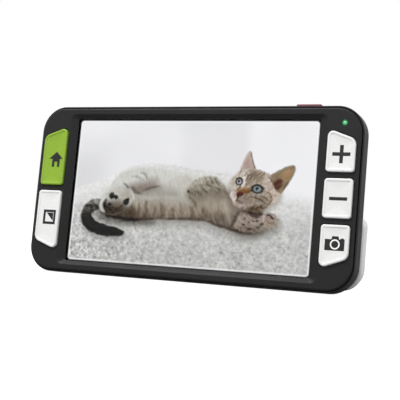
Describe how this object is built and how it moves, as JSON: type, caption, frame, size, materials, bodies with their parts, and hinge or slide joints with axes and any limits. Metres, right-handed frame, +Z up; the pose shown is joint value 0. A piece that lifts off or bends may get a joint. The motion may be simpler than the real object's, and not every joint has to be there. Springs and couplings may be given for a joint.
{
  "type": "video magnifier",
  "caption": "Hand-held video magnifier: a slim rounded case with a wide screen, raised keys beside it, a rear camera with lights, and a fold-out rear stand.",
  "frame": {"origin": "bottom centre of the whole object, on the table, as it stands on its open rear stand", "axes": "+X to the right across the screen, +Y to the back, +Z up; the screen faces -Y and leans back 5.5 degrees"},
  "size_m": [0.148, 0.0268, 0.0754],
  "materials": {
    "case_black": "fine matt moulded texture",
    "stand_grey": "satin moulded",
    "liner_grey": "matt moulded",
    "key_white": "soft gloss",
    "key_green": "soft gloss, lime green",
    "key_red": "soft gloss, dark red",
    "status_green": "lit translucent green",
    "screen_glass": "polished, anti-glare",
    "display": "lit display",
    "steel": "nickel plated",
    "tray_metal": "pressed sheet",
    "circuit_board": "green solder mask",
    "rubber_black": "matt, fine grain",
    "foam_black": "closed-cell foam",
    "silicone_grey": "matt silicone",
    "black_plastic": "fine satin",
    "battery_foil": "laminated foil pouch",
    "ribbon_film": "amber polyimide film",
    "led_yellow": "phosphor",
    "diffuser": "frosted clear",
    "lens_glass": "coated"
  },
  "bodies": {
    "housing": {"front_cover": "case_black", "rear_cover": "case_black", "screen_gasket": "foam_black", "screen_glass": "screen_glass", "display_panel": "display", "display_tray": "tray_metal", "display_ribbon": "ribbon_film", "main_board": "circuit_board", "processor_shield": "steel", "battery_pack": "battery_foil", "speaker": "black_plastic", "charging_port": "steel", "power_switch": "black_plastic", "camera_board": "circuit_board", "camera_holder": "black_plastic", "camera_barrel": "black_plastic", "camera_lens": "lens_glass", "camera_window": "lens_glass", "light_board": "circuit_board", "light_emitter_left": "led_yellow", "light_emitter_right": "led_yellow", "light_window_left": "diffuser", "light_window_right": "diffuser", "key_pad_left": "silicone_grey", "key_pad_right": "silicone_grey", "key_board_left": "circuit_board", "key_board_right": "circuit_board", "status_light_pipe": "status_green", "status_led": "led_yellow", "rear_foot_left": "rubber_black", "rear_foot_right": "rubber_black", "hinge_washer_left": "steel", "hinge_washer_right": "steel", "case_screw_1": "steel", "case_screw_2": "steel", "case_screw_3": "steel", "case_screw_4": "steel"},
    "stand": {"stand_shell": "stand_grey", "stand_liner": "liner_grey", "stand_foot_strip": "rubber_black", "stand_pad_left": "rubber_black", "stand_pad_right": "rubber_black", "hinge_pin_left": "steel", "hinge_pin_right": "steel", "stand_screw_1": "steel", "stand_screw_2": "steel", "stand_screw_3": "steel", "stand_screw_4": "steel"},
    "home_key": {"home_button": "key_green"},
    "contrast_key": {"contrast_button": "key_white"},
    "zoom_in_key": {"zoom_in_button": "key_white"},
    "zoom_out_key": {"zoom_out_button": "key_white"},
    "camera_key": {"camera_button": "key_white"},
    "power_key": {"power_button": "key_red"}
  },
  "joints": [
    {"name": "stand_hinge", "type": "hinge", "parent": "housing", "child": "stand", "pos_m": [0, 0.00451, 0.02775], "axis": [1, 0, 0], "range_deg": [-19.01, 81]},
    {"name": "home_press", "type": "slide", "parent": "housing", "child": "home_key", "axis": [0, 0.9954, -0.0958], "range_m": [0, 0.0006], "stiffness_N_per_m": 1500},
    {"name": "contrast_press", "type": "slide", "parent": "housing", "child": "contrast_key", "axis": [0, 0.9954, -0.0958], "range_m": [0, 0.0006], "stiffness_N_per_m": 1500},
    {"name": "zoom_in_press", "type": "slide", "parent": "housing", "child": "zoom_in_key", "axis": [0, 0.9954, -0.0958], "range_m": [0, 0.0006], "stiffness_N_per_m": 1500},
    {"name": "zoom_out_press", "type": "slide", "parent": "housing", "child": "zoom_out_key", "axis": [0, 0.9954, -0.0958], "range_m": [0, 0.0006], "stiffness_N_per_m": 1500},
    {"name": "camera_press", "type": "slide", "parent": "housing", "child": "camera_key", "axis": [0, 0.9954, -0.0958], "range_m": [0, 0.0006], "stiffness_N_per_m": 1500},
    {"name": "power_press", "type": "slide", "parent": "housing", "child": "power_key", "axis": [0, -0.0958, -0.9954], "range_m": [0, 0.0005], "stiffness_N_per_m": 1500}
  ]
}
